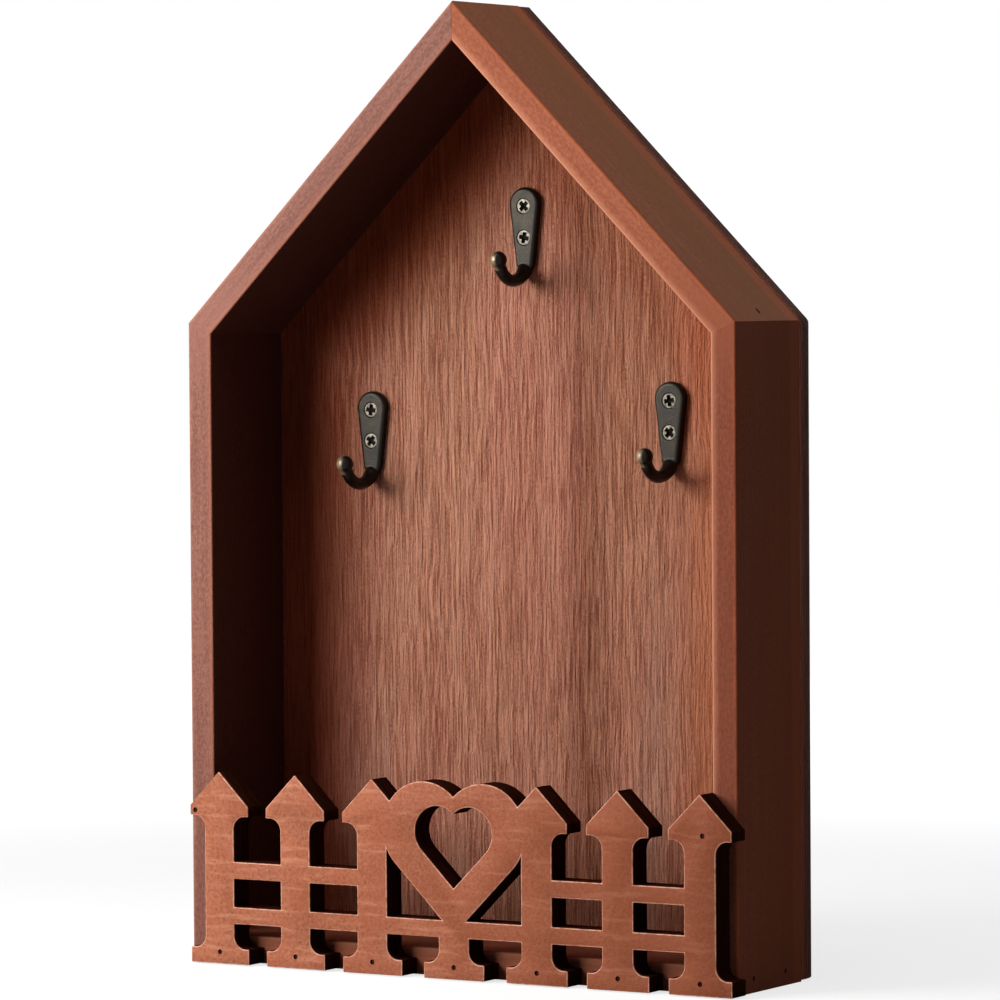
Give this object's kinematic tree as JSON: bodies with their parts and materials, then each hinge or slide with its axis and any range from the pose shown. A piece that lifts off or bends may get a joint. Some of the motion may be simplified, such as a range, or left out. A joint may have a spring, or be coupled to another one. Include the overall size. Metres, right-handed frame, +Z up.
{
  "type": "wall key holder",
  "caption": "House-shaped wooden key holder for a wall, with hooks inside, and a letter pocket behind a sawn fretwork front.",
  "frame": {"origin": "centre of the house body's underside: midway between the outer side faces and midway between the frame's front edge and the back face, on the plane that the body stands on", "axes": "+Z up to the ridge, +Y towards the wall, +X to the right as seen from the front; the open front and the fretwork face -Y"},
  "size_m": [0.2026, 0.058, 0.305],
  "materials": {
    "frame_wood": "reddish brown stain under a thin satin lacquer, arrises rubbed paler",
    "panel_wood": "reddish brown stain on open vertical grain, satin",
    "fretwork_wood": "reddish brown stain on fine plywood, matt face, dark sawn edges",
    "hook_bronze": "dark oil-rubbed bronze, satin",
    "screw_steel": "bright steel with a dark cross recess",
    "brad_steel": "dark sunk brad heads",
    "hanger_zinc": "bright zinc plate"
  },
  "bodies": {
    "root": {"left_side": "frame_wood", "right_side": "frame_wood", "left_roof": "frame_wood", "right_roof": "frame_wood", "bottom_board": "frame_wood", "back_panel": "panel_wood", "front_fretwork": "fretwork_wood", "hook_top": "hook_bronze", "hook_left": "hook_bronze", "hook_right": "hook_bronze", "hook_screws": "screw_steel", "fretwork_brads": "brad_steel", "corner_brads": "brad_steel", "eave_brads": "brad_steel", "panel_brads": "brad_steel", "hanger_left": "hanger_zinc", "hanger_right": "hanger_zinc", "hanger_screws": "hanger_zinc"}
  },
  "joints": []
}
